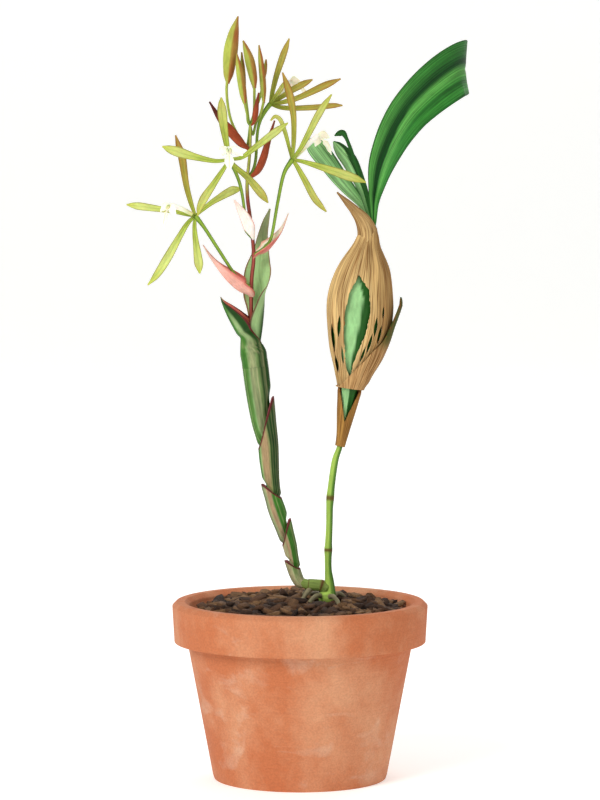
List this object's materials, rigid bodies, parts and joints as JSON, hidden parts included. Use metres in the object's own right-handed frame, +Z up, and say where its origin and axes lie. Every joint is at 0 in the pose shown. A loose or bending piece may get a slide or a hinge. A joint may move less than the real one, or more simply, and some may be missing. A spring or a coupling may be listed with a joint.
{
  "type": "potted epidendrum clavatum",
  "caption": "Potted clavate orchid with a leafy club-shaped old shoot and a young shoot in flower with narrow green petals and white lips.",
  "frame": {"origin": "middle of the pot's base, on the surface that it stands on", "axes": "+Z up the plant, -Y towards the viewer of the picture, +X to the viewer's right, towards the large leaf"},
  "size_m": [0.1242, 0.092, 0.2735],
  "materials": {
    "pot_clay": "unglazed matt terracotta with faint throwing lines",
    "bark_mix": "rough dry bark chips and fibre",
    "rhizome_skin": "smooth green rhizome with brown rings and pale roots",
    "cane_skin": "satin yellow-green to blue-green skin, faintly ribbed",
    "sheath_papery": "dry papery tan with lengthwise brown fibres",
    "sheath_fibrous": "dry orange-brown, fibrous and matt",
    "leaf_dark": "leathery dark green with fine parallel veins, satin",
    "leaf_pale": "leathery pale green with a dark midline, satin",
    "young_green": "satin green with a pale middle and a maroon edge",
    "flower_stem_red": "satin dark red turning pale green at the top",
    "bract_red": "thin matt red with darker edges",
    "bract_pink": "thin pale pink, slightly translucent",
    "bud_skin": "satin green flushed red-brown",
    "tepal_green": "satin yellow-green flushed brown along the middle",
    "lip_white": "white to cream with green swellings at the base"
  },
  "bodies": {
    "root": {"pot": "pot_clay", "growing_medium": "bark_mix", "rhizome_and_roots": "rhizome_skin", "old_pseudobulb": "cane_skin", "old_sheath_lower": "sheath_fibrous", "old_sheath_upper": "sheath_papery", "old_sheath_wrap": "sheath_papery", "old_leaf_large": "leaf_dark", "old_leaf_middle": "leaf_pale", "old_leaf_side": "leaf_pale", "new_sheath_1": "young_green", "new_sheath_2": "young_green", "new_sheath_3": "young_green", "new_sheath_4": "young_green", "new_sheath_5": "young_green", "new_leaf_outer": "young_green", "new_leaf_inner": "young_green", "flower_stem": "flower_stem_red", "bract_a": "bract_red", "bract_b": "bract_pink", "bract_c": "bract_red", "bract_d": "bract_red", "bract_e": "bract_red", "bract_f": "bract_red", "bud_1": "bud_skin", "bud_2": "bud_skin", "bud_3": "bud_skin", "bud_4": "bud_skin", "bud_5": "bud_skin", "bud_6": "bud_skin", "flower_a_tepals": "tepal_green", "flower_a_lip": "lip_white", "flower_b_tepals": "tepal_green", "flower_b_lip": "lip_white", "flower_c_tepals": "tepal_green", "flower_c_lip": "lip_white", "flower_d_tepals": "tepal_green", "flower_d_lip": "lip_white"}
  },
  "joints": []
}
